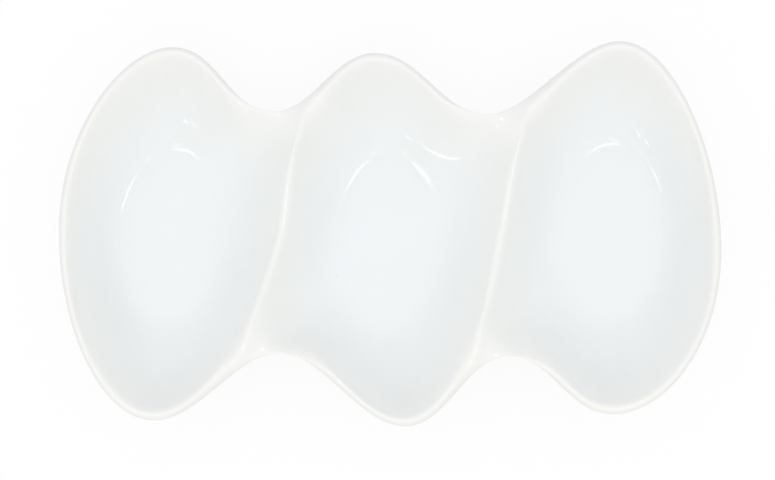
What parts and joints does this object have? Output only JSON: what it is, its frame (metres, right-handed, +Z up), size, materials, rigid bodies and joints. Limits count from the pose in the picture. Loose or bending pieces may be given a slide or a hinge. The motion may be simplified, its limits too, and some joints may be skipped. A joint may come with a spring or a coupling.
{
  "type": "relish tray",
  "caption": "Glazed porcelain relish tray: lens-shaped bowls side by side in one wavy rim, parted by S-shaped divider crests, standing on oval foot rings.",
  "frame": {"origin": "middle of the tray's footprint, on the table the foot rings stand on", "axes": "+X along the row of bowls, +Y towards the tips at the far side, +Z up out of the bowls"},
  "size_m": [0.332, 0.194, 0.0399],
  "materials": {
    "glaze": "clear gloss glaze over white porcelain",
    "bare_porcelain": "bare fired porcelain, ground flat"
  },
  "bodies": {
    "root": {"left_bowl": "glaze", "middle_bowl": "glaze", "right_bowl": "glaze", "left_foot": "bare_porcelain", "middle_foot": "bare_porcelain", "right_foot": "bare_porcelain"}
  },
  "joints": []
}
